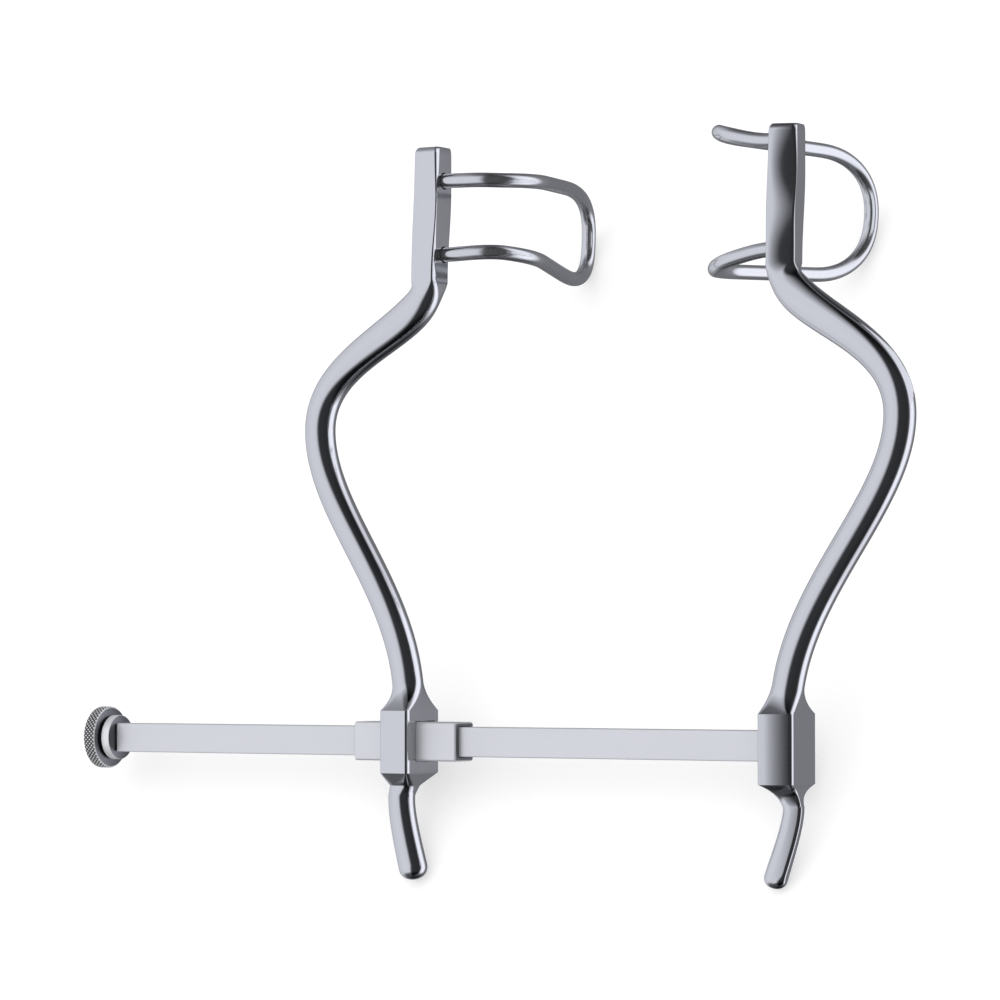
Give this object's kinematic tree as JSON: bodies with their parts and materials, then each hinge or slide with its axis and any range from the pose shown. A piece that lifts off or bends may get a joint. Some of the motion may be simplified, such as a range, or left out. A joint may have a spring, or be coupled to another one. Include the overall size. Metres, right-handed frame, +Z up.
{
  "type": "self retaining retractor",
  "caption": "Self-retaining abdominal retractor: two lyre-shaped arms on a rectangular rail, one sliding, each with a bent wire loop blade, and a knurled end screw as stop.",
  "frame": {"origin": "on the table, below the middle of the part as it rests on its two handles and its two blades", "axes": "+X along the rail from the end screw to the fixed arm, +Y from the rail towards the arm tips, +Z up; the frame leans back 24.5 degrees about X"},
  "size_m": [0.2514, 0.2098, 0.0803],
  "materials": {
    "polished_steel": "polished stainless steel with soft reflections",
    "satin_steel": "satin stainless steel, fine grain along the rail"
  },
  "bodies": {
    "frame": {"rail": "satin_steel", "fixed_arm": "polished_steel", "fixed_blade": "polished_steel"},
    "slider": {"sliding_arm": "polished_steel", "slide_sleeve": "satin_steel", "sliding_blade": "polished_steel"},
    "stop": {"end_screw": "polished_steel"}
  },
  "joints": [
    {"name": "arm_slide", "type": "slide", "parent": "frame", "child": "slider", "axis": [1, 0, 0], "range_m": [-0.08, 0.065]},
    {"name": "end_screw_turn", "type": "hinge", "parent": "frame", "child": "stop", "pos_m": [-0.11825, -0.06953, 0.01571], "axis": [1, 0, 0], "continuous": true}
  ]
}
